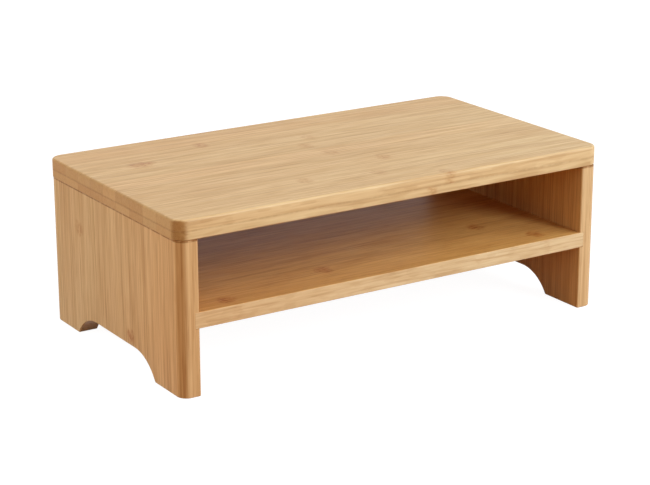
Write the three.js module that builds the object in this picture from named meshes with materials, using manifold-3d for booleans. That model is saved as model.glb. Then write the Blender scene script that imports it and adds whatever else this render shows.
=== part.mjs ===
// Two-tier monitor stand of bamboo board: a two-ply top with rounded corners rests on two side panels that
// stand on end, and one shelf is housed in grooves across the panels' inner faces. Blind dowels join the
// top to the panels. Nothing on it moves.
//
// Millimetres. +X runs along the width, +Y from front to back, +Z up. The origin is on the desk, under the
// middle of the top.

import * as THREE from 'three';
import { mergeVertices } from 'three/addons/utils/BufferGeometryUtils.js';
import Module from 'manifold-3d';

const wasm = await Module();
wasm.setup();

// Overall size
const width = 400;
const depth = 220;
const height = 140;

// Top board
const topUpperPlyThickness = 9;
const topLowerPlyThickness = 7;
const topCornerRadius = 11.5;
const topUpperEdgeRadius = 2;
const topLowerEdgeRadius = 1;
const topOverhangAtSides = 1.4;
const topOverhangAtFront = 0.3;

// Side panels
const sideThickness = 16.6;
const sideOuterCornerRadius = 8.5;
const sideInnerCornerRadius = 1.5;
const sideEndEdgeRadius = 0.8;

// Arch in the lower edge of each side panel
const archHeight = 18;
const archFootLength = 43.5;
const archCurveRadius = 38;
const archToeRadius = 1.5;

// Shelf
const shelfUnderside = 54;
const shelfThickness = 13;
const shelfHousingDepth = 4;
const shelfEdgeRadius = 0.6;

// Dowels
const dowelCountPerSide = 3;
const dowelDiameter = 8;
const dowelLength = 30;
const dowelDepthInTop = 12;
const dowelChamfer = 1;
const dowelFluteCount = 12;
const dowelFluteDepth = 0.3;
const dowelEndDistance = 34;

// Clearances
const glueGap = 0.2;
const dowelEndGap = 0.5;
const cutOverrun = 5;

// Fineness of the curves, in counts
const cornerSteps = 5;
const edgeSteps = 3;
const archSteps = 8;
const holeSides = 24;

// Worked out from the sizes above
const topThickness = topUpperPlyThickness + topLowerPlyThickness;
const topUnderside = height - topThickness;
const topGlueLine = topUnderside + topLowerPlyThickness;
const sideOuterX = width / 2 - topOverhangAtSides;
const sideInnerX = sideOuterX - sideThickness;
const sideDepth = depth - 2 * topOverhangAtFront;
const shelfTop = shelfUnderside + shelfThickness;
const dowelX = (sideOuterX + sideInnerX) / 2;
const dowelBottom = topUnderside + dowelDepthInTop - dowelLength;
const dowelHoleRadius = dowelDiameter / 2 + glueGap;

// Bamboo finishes
const topBamboo = new THREE.MeshStandardMaterial({ color: 0xdbb485, roughness: 0.42, metalness: 0 });
const sideBamboo = new THREE.MeshStandardMaterial({ color: 0xcfa06a, roughness: 0.45, metalness: 0 });
const shelfBamboo = new THREE.MeshStandardMaterial({ color: 0xc58f58, roughness: 0.38, metalness: 0 });
const dowelWood = new THREE.MeshStandardMaterial({ color: 0xd8bd93, roughness: 0.7, metalness: 0 });

// Solid from a closed mesh, and mesh geometry from a solid
function toSolid(geometry) {
  const bare = geometry.clone();
  bare.deleteAttribute('normal');
  bare.deleteAttribute('uv');
  const merged = mergeVertices(bare);
  const vertProperties = new Float32Array(merged.attributes.position.array);
  const triVerts = new Uint32Array(merged.index.array);
  return new wasm.Manifold(new wasm.Mesh({ numProp: 3, vertProperties, triVerts }));
}

function toGeometry(solid) {
  const result = solid.getMesh();
  const geometry = new THREE.BufferGeometry();
  geometry.setAttribute('position', new THREE.BufferAttribute(result.vertProperties, 3));
  geometry.setIndex(new THREE.BufferAttribute(result.triVerts, 1));
  geometry.computeVertexNormals();
  return geometry;
}

// Box between two corners
function boxBetween(low, high) {
  const size = new THREE.Vector3().subVectors(high, low);
  const centre = new THREE.Vector3().addVectors(low, high).multiplyScalar(0.5);
  const geometry = new THREE.BoxGeometry(size.x, size.y, size.z);
  geometry.translate(centre.x, centre.y, centre.z);
  return toSolid(geometry);
}

// Rectangle about the origin with one corner radius on its +X side and one on its -X side
function roundedRectangle(sizeX, sizeY, radiusPlusX, radiusMinusX) {
  const halfX = sizeX / 2;
  const halfY = sizeY / 2;
  const quarter = Math.PI / 2;
  const corners = [
    { x: halfX - radiusPlusX, y: radiusPlusX - halfY, radius: radiusPlusX },
    { x: halfX - radiusPlusX, y: halfY - radiusPlusX, radius: radiusPlusX },
    { x: radiusMinusX - halfX, y: halfY - radiusMinusX, radius: radiusMinusX },
    { x: radiusMinusX - halfX, y: radiusMinusX - halfY, radius: radiusMinusX },
  ];
  const outline = new THREE.Shape();
  corners.forEach((corner, index) => {
    const start = (index - 1) * quarter;
    outline.absarc(corner.x, corner.y, corner.radius, start, start + quarter, false);
  });
  return outline;
}

// Board from an outline, standing on z = 0, with the edges of both faces rounded alike
function roundedBoard(outline, thickness, edgeRadius) {
  const geometry = new THREE.ExtrudeGeometry(outline, {
    depth: thickness - 2 * edgeRadius,
    bevelEnabled: true,
    bevelThickness: edgeRadius,
    bevelSize: edgeRadius,
    bevelOffset: -edgeRadius,
    bevelSegments: edgeSteps,
    curveSegments: cornerSteps,
  });
  geometry.translate(0, 0, edgeRadius);
  return toSolid(geometry);
}

// Dowel places, the same for the panels and the top
function dowelPlaces(sideSign) {
  const reach = sideDepth / 2 - dowelEndDistance;
  const places = [];
  for (let index = 0; index < dowelCountPerSide; index += 1) {
    const along = dowelCountPerSide > 1 ? (2 * index) / (dowelCountPerSide - 1) - 1 : 0;
    places.push({ x: sideSign * dowelX, y: along * reach });
  }
  return places;
}

// Blind holes for the dowels of one side, long enough for every piece that they pass
function dowelHoles(sideSign) {
  const holeLength = dowelLength + 2 * dowelEndGap;
  const middle = dowelBottom + dowelLength / 2;
  return dowelPlaces(sideSign).map((place) => {
    const hole = new THREE.CylinderGeometry(dowelHoleRadius, dowelHoleRadius, holeLength, holeSides);
    hole.rotateX(Math.PI / 2);
    hole.translate(place.x, place.y, middle);
    return toSolid(hole);
  });
}

function cutAll(solid, cutters) {
  return cutters.reduce((left, cutter) => left.subtract(cutter), solid);
}

// Whole top board with its dowel holes. Its upper and lower edges differ, so two boards, each rounded for
// one of them and too long at the other, are crossed.
function topBoard() {
  const outline = roundedRectangle(width, depth, topCornerRadius, topCornerRadius);
  const longer = topThickness + cutOverrun;
  const upperEdged = roundedBoard(outline, longer, topUpperEdgeRadius).translate([0, 0, height - longer]);
  const lowerEdged = roundedBoard(outline, longer, topLowerEdgeRadius).translate([0, 0, topUnderside]);
  return cutAll(upperEdged.intersect(lowerEdged), [...dowelHoles(1), ...dowelHoles(-1)]);
}

// One ply of the top, between two heights
function topPly(board, lowZ, highZ) {
  const low = new THREE.Vector3(-width, -depth, lowZ);
  const high = new THREE.Vector3(width, depth, highZ);
  return board.intersect(boxBetween(low, high));
}

// Prism of the arch: a flat crown, a round shoulder at each end and a small round toe where the curve
// meets the foot. Drawn in front-to-back and up, and cut right through both panels' thickness.
function archCutter() {
  const footEnd = sideDepth / 2 - archFootLength;
  const centreZ = archHeight - archCurveRadius;
  const floorRun = Math.sqrt(archCurveRadius ** 2 - centreZ ** 2);
  const centreY = footEnd - floorRun;
  // The toe's circle touches the floor from above and the shoulder's circle from outside
  const toeZ = archToeRadius;
  const toeRun = Math.sqrt((archCurveRadius + archToeRadius) ** 2 - (toeZ - centreZ) ** 2);
  const toeY = centreY + toeRun;
  const meetAngle = Math.atan2(toeZ - centreZ, toeRun);
  const outline = new THREE.Shape();
  outline.moveTo(-toeY, -cutOverrun);
  outline.lineTo(toeY, -cutOverrun);
  outline.absarc(toeY, toeZ, archToeRadius, -Math.PI / 2, -Math.PI + meetAngle, true);
  outline.absarc(centreY, centreZ, archCurveRadius, meetAngle, Math.PI / 2, false);
  outline.absarc(-centreY, centreZ, archCurveRadius, Math.PI / 2, Math.PI - meetAngle, false);
  outline.absarc(-toeY, toeZ, archToeRadius, -meetAngle, -Math.PI / 2, true);
  const prism = new THREE.ExtrudeGeometry(outline, {
    depth: width + 2 * cutOverrun,
    bevelEnabled: false,
    curveSegments: archSteps,
  });
  // The outline's first axis turns to +Y and its second to +Z
  prism.rotateX(Math.PI / 2);
  prism.rotateZ(Math.PI / 2);
  prism.translate(-width / 2 - cutOverrun, 0, 0);
  return toSolid(prism);
}

// Groove across both panels for the shelf's ends, open at the front and the back
function shelfGroove() {
  const reach = sideInnerX + shelfHousingDepth;
  const halfY = sideDepth / 2 + cutOverrun;
  return boxBetween(
    new THREE.Vector3(-reach, -halfY, shelfUnderside - glueGap),
    new THREE.Vector3(reach, halfY, shelfTop + glueGap),
  );
}

function sidePanel(sideSign) {
  const outerRadius = sideOuterCornerRadius;
  const innerRadius = sideInnerCornerRadius;
  const outline = sideSign > 0
    ? roundedRectangle(sideThickness, sideDepth, outerRadius, innerRadius)
    : roundedRectangle(sideThickness, sideDepth, innerRadius, outerRadius);
  const board = roundedBoard(outline, topUnderside, sideEndEdgeRadius);
  const placed = board.translate([sideSign * dowelX, 0, 0]);
  return cutAll(placed, [archCutter(), shelfGroove(), ...dowelHoles(sideSign)]);
}

// Shelf, as deep as the panels: its long edges are rounded a little, and its ends stand a glue gap short
// of the grooves' floors
function shelf() {
  const length = 2 * (sideInnerX + shelfHousingDepth - glueGap);
  const section = roundedRectangle(sideDepth, shelfThickness, shelfEdgeRadius, shelfEdgeRadius);
  const board = new THREE.ExtrudeGeometry(section, {
    depth: length,
    bevelEnabled: false,
    curveSegments: edgeSteps,
  });
  board.rotateX(Math.PI / 2);
  board.rotateZ(Math.PI / 2);
  board.translate(-length / 2, 0, shelfUnderside + shelfThickness / 2);
  return toSolid(board);
}

// Dowel with straight flutes and chamfered ends, standing on z = 0
function flutedDowel() {
  const radius = dowelDiameter / 2;
  const points = [];
  for (let flute = 0; flute < dowelFluteCount; flute += 1) {
    const crestAngle = (flute / dowelFluteCount) * 2 * Math.PI;
    const valleyAngle = crestAngle + Math.PI / dowelFluteCount;
    const valleyRadius = radius - dowelFluteDepth;
    points.push(new THREE.Vector2(radius * Math.cos(crestAngle), radius * Math.sin(crestAngle)));
    points.push(new THREE.Vector2(valleyRadius * Math.cos(valleyAngle), valleyRadius * Math.sin(valleyAngle)));
  }
  const geometry = new THREE.ExtrudeGeometry(new THREE.Shape(points), {
    depth: dowelLength - 2 * dowelChamfer,
    bevelEnabled: true,
    bevelThickness: dowelChamfer,
    bevelSize: dowelChamfer,
    bevelOffset: -dowelChamfer,
    bevelSegments: 1,
  });
  geometry.translate(0, 0, dowelChamfer);
  return toSolid(geometry);
}

function namedMesh(name, solid, material) {
  const mesh = new THREE.Mesh(toGeometry(solid), material);
  mesh.name = name;
  return mesh;
}

// The stand
const monitorStand = new THREE.Group();
const wholeTop = topBoard();
monitorStand.add(namedMesh('top_lower_ply', topPly(wholeTop, topUnderside, topGlueLine), topBamboo));
monitorStand.add(namedMesh('top_upper_ply', topPly(wholeTop, topGlueLine, height), topBamboo));
monitorStand.add(namedMesh('left_side_panel', sidePanel(-1), sideBamboo));
monitorStand.add(namedMesh('right_side_panel', sidePanel(1), sideBamboo));
monitorStand.add(namedMesh('shelf', shelf(), shelfBamboo));

for (const [sideName, sideSign] of [['left', -1], ['right', 1]]) {
  dowelPlaces(sideSign).forEach((place, index) => {
    const dowel = namedMesh(`${sideName}_dowel_${index + 1}`, flutedDowel(), dowelWood);
    dowel.position.set(place.x, place.y, dowelBottom);
    monitorStand.add(dowel);
  });
}

export default monitorStand;
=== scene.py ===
"""Two-tier monitor stand of bamboo board, dressed for its studio picture.

Metres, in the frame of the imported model: +X along the width, +Y from front to back, +Z up, and the
origin on the desk under the middle of the top.
"""

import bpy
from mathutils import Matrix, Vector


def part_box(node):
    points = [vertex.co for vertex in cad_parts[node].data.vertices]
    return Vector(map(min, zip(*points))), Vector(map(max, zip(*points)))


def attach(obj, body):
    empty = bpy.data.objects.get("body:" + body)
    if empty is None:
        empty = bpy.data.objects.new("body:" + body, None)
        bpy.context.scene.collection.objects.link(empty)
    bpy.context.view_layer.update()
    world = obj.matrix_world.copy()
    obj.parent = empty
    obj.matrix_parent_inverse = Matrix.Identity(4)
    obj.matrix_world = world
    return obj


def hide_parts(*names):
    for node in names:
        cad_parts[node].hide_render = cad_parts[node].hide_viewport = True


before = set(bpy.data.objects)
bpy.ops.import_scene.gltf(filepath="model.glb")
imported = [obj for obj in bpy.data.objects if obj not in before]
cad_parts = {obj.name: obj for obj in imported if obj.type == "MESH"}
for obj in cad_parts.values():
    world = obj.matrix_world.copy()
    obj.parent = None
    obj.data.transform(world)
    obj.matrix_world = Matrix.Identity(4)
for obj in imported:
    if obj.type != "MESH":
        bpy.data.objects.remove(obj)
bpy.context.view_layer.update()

import logging
from dataclasses import dataclass, field
from enum import Enum, IntEnum
from math import acos, pi, radians, sqrt

import bmesh
import bpy
from mathutils import Matrix, Vector

Triple = tuple[float, float, float]
Colour = tuple[float, float, float, float]
Socket = bpy.types.NodeSocket
Sockets = bpy.types.bpy_prop_collection
Source = Socket | float | tuple | Vector

REPORT = logging.getLogger("monitor_stand")
BODY = "root"

# Places nearer than this are one place, and a mirrored half's points weld to the other's
TOUCHING = 1e-6
WELDING = 1e-5
# Faces that turn by less than this are one face
HIDDEN_SEAM = radians(0.05)
# Least turn of an edge that is shaded sharp, and of one that is eased on a side panel
CREASE = radians(32)
SHARP = radians(50)
# How much the large faces count in the shading, where 50 counts all faces alike
FLAT_WEIGHT = 60

NO_WAY: Triple = (0.0, 0.0, 0.0)
TO_RIGHT: Triple = (1.0, 0.0, 0.0)
UP: Triple = (0.0, 0.0, 1.0)
DOWN: Triple = (0.0, 0.0, -1.0)
WHITE: Colour = (1.0, 1.0, 1.0, 1.0)


class Axis(IntEnum):
    """Axes of the frame, numbered as a vector numbers them."""

    X = 0
    Y = 1
    Z = 2


def paint(red: int, green: int, blue: int) -> Colour:
    """Give a colour as the shaders want it.

    Args:
        red: Red as a screen shows it, from 0 to 255.
        green: Green, likewise.
        blue: Blue, likewise.

    Returns:
        The colour in linear light, with full alpha.
    """
    def linear(value: int) -> float:
        """Undo the screen's curve for one channel."""
        share = value / 255
        return share / 12.92 if share <= 0.04045 else ((share + 0.055) / 1.055) ** 2.4

    return linear(red), linear(green), linear(blue), 1.0


# Shader nodes


@dataclass(frozen=True)
class Ramp:
    """Soft step from one value to another.

    Attributes:
        low: Reading where the step begins.
        high: Reading where it ends.
        start: Value up to the step.
        end: Value after it.
    """

    low: float
    high: float
    start: float = 0.0
    end: float = 1.0


class NodeBench:
    """Places shader nodes in one tree and joins them as it goes."""

    def __init__(self, tree: bpy.types.NodeTree) -> None:
        """Take over a node tree."""
        self.tree = tree

    def place(self, kind: str, feeds: dict[str | int, Source] | None = None,
              **settings: object) -> bpy.types.Node:
        """Place one node.

        Args:
            kind: Blender's name for the sort of node.
            feeds: What each input is fed with, by the input's name or number.
            **settings: The node's own properties.

        Returns:
            The node.
        """
        node = self.tree.nodes.new(kind)
        for name, value in settings.items():
            setattr(node, name, value)
        for key, source in (feeds or {}).items():
            self.feed(node.inputs[key], source)
        return node

    def feed(self, socket: Socket, source: Source) -> None:
        """Join a socket to an output, or set its own value.

        Args:
            socket: The socket.
            source: The output, or the value.
        """
        if isinstance(source, bpy.types.NodeSocket):
            self.tree.links.new(source, socket)
        else:
            socket.default_value = source

    def math(self, operation: str, *sources: Source, clamp: bool = False) -> Socket:
        """Work out one number from others.

        Args:
            operation: Blender's name for the sum.
            *sources: What goes into it.
            clamp: Whether the result is kept from 0 to 1.

        Returns:
            The result's socket.
        """
        node = self.place("ShaderNodeMath", dict(enumerate(sources)), operation=operation)
        node.use_clamp = clamp
        return node.outputs[0]

    def span(self, value: Source, ramp: Ramp) -> Socket:
        """Read a value through a soft step.

        Args:
            value: The value.
            ramp: The step.

        Returns:
            The eased value's socket.
        """
        feeds = {"Value": value, "From Min": ramp.low, "From Max": ramp.high,
                 "To Min": ramp.start, "To Max": ramp.end}
        node = self.place("ShaderNodeMapRange", feeds, interpolation_type="SMOOTHSTEP")
        return node.outputs["Result"]

    def blend(self, share: Source, first: Source, second: Source, way: str = "MIX") -> Socket:
        """Mix two colours.

        Args:
            share: How much of the second one goes in.
            first: First colour.
            second: Second colour.
            way: Blender's name for the sort of mix.

        Returns:
            The mixed colour's socket.
        """
        # The node's sockets for colours go by number, since others have the same names
        feeds = {0: share, 6: first, 7: second}
        return self.place("ShaderNodeMix", feeds, data_type="RGBA", blend_type=way).outputs[2]

    def stretch(self, place: Source, scale: Source, shift: Source = NO_WAY) -> Socket:
        """Scale and shift a place for an uneven pattern."""
        feeds = {0: place, 1: scale, 2: shift}
        return self.place("ShaderNodeVectorMath", feeds, operation="MULTIPLY_ADD").outputs[0]

    def parts(self, place: Source) -> list[Socket]:
        """Split a place or a way into its parts along the three axes."""
        return list(self.place("ShaderNodeSeparateXYZ", {0: place}).outputs)

    def dot(self, first: Source, second: Source) -> Socket:
        """Tell how far two ways agree, or how far a place lies along a way."""
        feeds = {0: first, 1: second}
        return self.place("ShaderNodeVectorMath", feeds, operation="DOT_PRODUCT").outputs["Value"]


@dataclass(frozen=True)
class Pattern:
    """Soft noise that is drawn out along the fibres.

    Attributes:
        repeats: How often it repeats in a metre: along the fibres, across them and into the board.
        detail: How many times finer noise is laid over it.
    """

    repeats: Triple
    detail: float = 0.0

    def draw(self, bench: NodeBench, place: Source) -> Socket:
        """Read the noise at a place."""
        feeds = {"Vector": bench.stretch(place, self.repeats), "Scale": 1.0, "Detail": self.detail}
        return bench.place("ShaderNodeTexNoise", feeds).outputs[0]


@dataclass(frozen=True)
class Tint:
    """What deepens or pales the bamboo in some spots.

    Attributes:
        keeps: Share of red, green and blue that it leaves.
        strength: How much of it goes on, from 0 to 1.
    """

    keeps: Colour
    strength: float = 1.0

    def lay(self, bench: NodeBench, colour: Socket, mask: Socket) -> Socket:
        """Lay it over a colour where a mask shows.

        Args:
            bench: The bench to work on.
            colour: The colour below.
            mask: Where it goes, from 0 to 1.

        Returns:
            The new colour's socket.
        """
        return bench.blend(bench.math("MULTIPLY", mask, self.strength), colour, self.keeps, "MULTIPLY")


class Effect(NodeBench):
    """A shader effect that several finishes share, kept as one node group."""

    def __init__(self, name: str, inputs: dict[str, str], outputs: dict[str, str]) -> None:
        """Open the group.

        Args:
            name: The group's name.
            inputs: Kind of each input, by name.
            outputs: Kind of each output, by name.
        """
        tree = bpy.data.node_groups.new(name, "ShaderNodeTree")
        super().__init__(tree)
        for way, sockets in (("INPUT", inputs), ("OUTPUT", outputs)):
            for label, kind in sockets.items():
                tree.interface.new_socket(name=label, in_out=way, socket_type="NodeSocket" + kind)
        self.given = self.place("NodeGroupInput").outputs
        self.result = self.place("NodeGroupOutput").inputs

    def give(self, results: dict[str, Socket]) -> None:
        """Join the group's outputs to what they give."""
        for label, source in results.items():
            self.feed(self.result[label], source)

    def use_in(self, bench: NodeBench, feeds: dict[str, Source]) -> Sockets:
        """Place the effect in another tree, fed with that tree's own values, and give its outputs."""
        return bench.place("ShaderNodeGroup", feeds, node_tree=self.tree).outputs


# How the glue between two strips fades with the distance from it
STRIP_JOINT_FADE = Ramp(0.0, 0.00045, 1.0, 0.0)


def strip_layup() -> Effect:
    """Make the effect of strips that lie side by side in a board.

    Returns:
        An effect that gives each strip its own tone and tint, and the glue lines between them.
    """
    effect = Effect("strip_layup",
                    {"Place": "Vector", "Strip Width": "Float", "First Joint": "Float",
                     "Seed": "Float"},
                    {"Tone": "Float", "Tint": "Float", "Joint": "Float"})
    given = effect.given
    offset = effect.math("SUBTRACT", effect.parts(given["Place"])[Axis.Y], given["First Joint"])
    count = effect.math("DIVIDE", offset, given["Strip Width"])
    inside = effect.math("FRACT", count)
    edge_share = effect.math("MINIMUM", inside, effect.math("SUBTRACT", 1.0, inside))
    from_joint = effect.math("MULTIPLY", edge_share, given["Strip Width"])
    feeds = {"X": effect.math("FLOOR", count), "Y": given["Seed"]}
    label = effect.place("ShaderNodeCombineXYZ", feeds).outputs[0]
    chance = effect.place("ShaderNodeTexWhiteNoise", {"Vector": label}, noise_dimensions="2D").outputs
    tint = effect.place("ShaderNodeSeparateColor", {"Color": chance["Color"]}).outputs["Blue"]
    effect.give({"Tone": chance["Value"], "Tint": tint,
                 "Joint": effect.span(from_joint, STRIP_JOINT_FADE)})
    return effect


# Patterns of the fibres
BANDS = Pattern((5.0, 120.0, 120.0), 1.0)
STREAKS = Pattern((13.0, 430.0, 430.0), 1.0)
FLECKS = Pattern((40.0, 560.0, 560.0))
LINES = Pattern((9.0, 820.0, 820.0))
HAIRS = Pattern((26.0, 1500.0, 1500.0), 1.0)
# Where flecks and thin dark lines show in their noise, and pale gleams in that of the lines
FLECK_SHOWS = Ramp(0.58, 0.68)
LINE_SHOWS = Ramp(0.56, 0.66)
GLEAM_SHOWS = Ramp(0.34, 0.44, 1.0, 0.0)


def culm_fibres() -> Effect:
    """Make the effect of a culm's fibres, which run along the pattern's first axis.

    Returns:
        An effect that gives soft bands, streaks, short dark flecks, long thin lines, dark and pale,
        and hair-fine fibres.
    """
    effect = Effect("culm_fibres", {"Place": "Vector", "Shift": "Vector", "Fineness": "Vector"},
                    {"Band": "Float", "Streak": "Float", "Fleck": "Float", "Line": "Float",
                     "Gleam": "Float", "Hair": "Float"})
    given = effect.given
    place = effect.stretch(given["Place"], given["Fineness"], given["Shift"])
    line = LINES.draw(effect, place)
    effect.give({
        "Band": BANDS.draw(effect, place), "Streak": STREAKS.draw(effect, place),
        "Fleck": effect.span(FLECKS.draw(effect, place), FLECK_SHOWS),
        "Line": effect.span(line, LINE_SHOWS), "Gleam": effect.span(line, GLEAM_SHOWS),
        "Hair": HAIRS.draw(effect, place)})
    return effect


# How far a knot's outline wanders along the fibres, as a share of its reach, and how it fades out
KNOT_WANDER = 1.6
KNOT_FADE = Ramp(0.0, 1.7, 1.0, 0.0)


def knot_mark() -> Effect:
    """Make the effect of one node of the culm, which lies across its strip.

    Returns:
        An effect that gives the soft stain of the node.
    """
    effect = Effect("knot_mark",
                    {"Place": "Vector", "Centre": "Vector", "Reach": "Float", "Width": "Float",
                     "Wander": "Float"},
                    {"Stain": "Float"})
    given = effect.given
    apart = effect.place("ShaderNodeVectorMath", {0: given["Place"], 1: given["Centre"]},
                         operation="SUBTRACT").outputs[0]
    from_centre = effect.parts(apart)
    wander = effect.math("MULTIPLY_ADD", given["Wander"], KNOT_WANDER, -KNOT_WANDER / 2)
    along = effect.math("ADD", effect.math("DIVIDE", from_centre[Axis.X], given["Reach"]), wander)
    across = effect.math("DIVIDE", from_centre[Axis.Y], given["Width"])
    far = effect.math("MULTIPLY_ADD", along, along, effect.math("MULTIPLY", across, across))
    effect.give({"Stain": effect.span(far, KNOT_FADE)})
    return effect


# How the dark line of a seam fades with the distance from it, as a share of its reach, and how it
# breaks up
GLUE_AND_SHADOW_FADE = Ramp(0.45, 1.0, 1.0, 0.0)
GLUE_AND_SHADOW_BREAKS = Pattern((260.0, 260.0, 0.0), 2.0)
GLUE_AND_SHADOW_SHOWS = Ramp(0.3, 0.6, 0.45, 1.0)


def glue_and_shadow_line() -> Effect:
    """Make the effect of the fine dark line at one height where two boards meet: glue between the top's
    plies, and painted shadow under the top on a side panel.

    Returns:
        An effect that gives how much of the line shows.
    """
    effect = Effect("glue_and_shadow_line", {"Place": "Vector", "Level": "Float", "Reach": "Float"},
                    {"Line": "Float"})
    given = effect.given
    height = effect.parts(given["Place"])[Axis.Z]
    apart = effect.math("ABSOLUTE", effect.math("SUBTRACT", height, given["Level"]))
    near = effect.span(effect.math("DIVIDE", apart, given["Reach"]), GLUE_AND_SHADOW_FADE)
    shown = effect.span(GLUE_AND_SHADOW_BREAKS.draw(effect, given["Place"]), GLUE_AND_SHADOW_SHOWS)
    effect.give({"Line": effect.math("MULTIPLY", near, shown)})
    return effect


# How far a surface has to turn before it counts as a cut end, a corner with painted shade, a face in
# the bay with painted shade, a strip's narrow side or the rim of a long edge with a painted highlight
CUT_END_TURN = Ramp(0.25, 0.9)
CORNER_TURN = Ramp(0.12, 0.44)
BAY_TURN = Ramp(0.5, 0.95)
SIDE_TURN = Ramp(0.7, 1.0)
RIM_TURN = Ramp(0.26, 0.47)


def facing() -> Effect:
    """Make the effect that tells which way a surface looks.

    Returns:
        An effect that gives how far a surface cuts across the fibres, how far it is the rounded
        corner at the left of the front or at the right of the back, which gets painted shade, how far
        it looks into the bay, which gets painted shade too, how far it shows the strips' narrow sides,
        and how far it is the rounded rim of a long edge, which gets a painted highlight.
    """
    effect = Effect("facing", {"Normal": "Vector", "Fibre Way": "Vector", "Bay Way": "Vector"},
                    {"Cut End": "Float", "Corner Shade": "Float", "Bay Shade": "Float", "Side": "Float",
                     "Rim Highlight": "Float"})
    normal = effect.given["Normal"]
    along = effect.dot(normal, effect.given["Fibre Way"])
    inward = effect.dot(normal, effect.given["Bay Way"])
    x, y, z = effect.parts(normal)
    long_edge = effect.math("ABSOLUTE", effect.math("MULTIPLY", y, z))
    effect.give({
        "Cut End": effect.span(effect.math("ABSOLUTE", along), CUT_END_TURN),
        "Corner Shade": effect.span(effect.math("MULTIPLY", x, y), CORNER_TURN),
        "Bay Shade": effect.span(inward, BAY_TURN),
        "Side": effect.span(effect.math("ABSOLUTE", y), SIDE_TURN),
        "Rim Highlight": effect.span(long_edge, RIM_TURN)})
    return effect


# Share of the deep tone: what every strip has, what its own tone adds, and in a cut end besides
BASE_SHARE = 0.22
STRIP_SWING = 0.2
CUT_END_SWING = 0.2
# How the fibres swing that share, and how much of it a cut end and a narrow side take away
BAND_SWING = Ramp(0.3, 0.7, -0.17, 0.17)
STREAK_SWING = Ramp(0.34, 0.68, -0.1, 0.19)
HAIR_SWING = Ramp(0.35, 0.7, -0.1, 0.15)
GLEAM_SWING = -0.16
CUT_END_CALM = -0.8
SIDE_CALM = -0.1


def deep_share(effect: Effect, strips: Sockets, grain: Sockets, lengthwise: Socket) -> Socket:
    """Work out the share of the deep tone, which each strip has and the fibres swing.

    Args:
        effect: The effect to work in.
        strips: What the strips give.
        grain: What the fibres give.
        lengthwise: How far the fibres show on the surface.

    Returns:
        The share's socket.
    """
    swing = effect.math("ADD", effect.span(grain["Band"], BAND_SWING),
                        effect.span(grain["Streak"], STREAK_SWING))
    swing = effect.math("ADD", swing, effect.span(grain["Hair"], HAIR_SWING))
    swing = effect.math("MULTIPLY_ADD", grain["Gleam"], GLEAM_SWING, swing)
    own = effect.math("MULTIPLY_ADD", effect.given["Cut End"], CUT_END_SWING, STRIP_SWING)
    share = effect.math("MULTIPLY_ADD", strips["Tone"], own, BASE_SHARE)
    return effect.math("MULTIPLY_ADD", swing, lengthwise, share, clamp=True)


# Strips lean a little to red or to yellow, and painted light and shade drift a board's colour from pale
# and cool to deep and warm
RED_LEAN: Colour = (1.01, 0.99, 0.98, 1.0)
YELLOW_LEAN: Colour = (0.99, 1.005, 1.01, 1.0)
PAINTED_LIGHT_TINT: Colour = (1.01, 1.07, 1.13, 1.0)
PAINTED_SHADE_TINT: Colour = (0.96, 0.9, 0.85, 1.0)


def bamboo_tone(effect: Effect, tint: Socket, share: Socket) -> Socket:
    """Mix the two tones of a board, lean them for the strip and lay over them the painted light and
    shade that drifts across it.

    Args:
        effect: The effect to work in.
        tint: Tint of the strip, from 0 to 1.
        share: Share of the deep tone.

    Returns:
        The colour's socket.
    """
    colour = effect.blend(share, effect.given["Pale"], effect.given["Deep"])
    lean = effect.blend(tint, RED_LEAN, YELLOW_LEAN)
    colour = effect.blend(1.0, colour, lean, "MULTIPLY")
    light_drift = effect.blend(effect.given["Light Drift"], PAINTED_LIGHT_TINT, PAINTED_SHADE_TINT)
    return effect.blend(1.0, colour, light_drift, "MULTIPLY")


# Dark fibres
DARK_FIBRE: Colour = (0.66, 0.5, 0.38, 1.0)
FLECK = Tint(DARK_FIBRE, 0.25)
THIN_LINE = Tint(DARK_FIBRE, 0.5)
# A knot is a soft stain with short dark dashes in it
KNOT_COLOUR: Colour = (0.77, 0.57, 0.44, 1.0)
STAIN = Tint(KNOT_COLOUR, 0.6)
DASH = Tint(KNOT_COLOUR)
DASHES = Pattern((230.0, 520.0, 520.0), 1.0)
DASH_SHOWS = Ramp(0.5, 0.58)
# Cut ends drink more lacquer and show the vessels as dots
SOAKED = Tint((0.83, 0.79, 0.67, 1.0), 0.55)
VESSEL = Tint(DARK_FIBRE, 0.3)
VESSEL_REPEATS = 820.0
VESSEL_SHOWS = Ramp(0.18, 0.42, 1.0, 0.0)
# The strips' narrow sides are paler than their faces, and a painted highlight pales the rounding of a
# long edge
NARROW_SIDE = Tint((1.03, 1.11, 1.22, 1.0))
RIM_HIGHLIGHT = Tint((1.03, 1.07, 1.12, 1.0))
# Painted shade deepens the faces that look into the bay to amber
BAY_SHADE = Tint((0.89, 0.68, 0.38, 1.0))
# Painted shade darkens the rounded corners at the left of the front and at the right of the back
CORNER_SHADE = Tint((0.6, 0.47, 0.33, 1.0))
# Glue between the strips, and the dark line of a seam: glue between the top's plies, and painted shadow
# under the top on a side panel
STRIP_GLUE = Tint(DARK_FIBRE, 0.3)
BOARD_GLUE_AND_SHADOW = Tint((0.5, 0.38, 0.28, 1.0))
# What the fibres add to a board's roughness, and how each pattern stands out of it
STREAK_ROUGHNESS = Ramp(0.3, 0.7, -0.03, 0.05)
CUT_END_ROUGHNESS = 0.06
HAIR_RELIEF = Ramp(0.3, 0.7, 0.4, 0.0)
FLECK_RELIEF = -0.4
STRIP_GLUE_RELIEF = -0.6
DASH_RELIEF = 0.3
# How far a strip's tone and tint and the board's seed shift the fibres' pattern
TONE_SHIFT = 9.0
SEED_SHIFT = 1.7
TINT_SHIFT = 3.0


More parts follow.
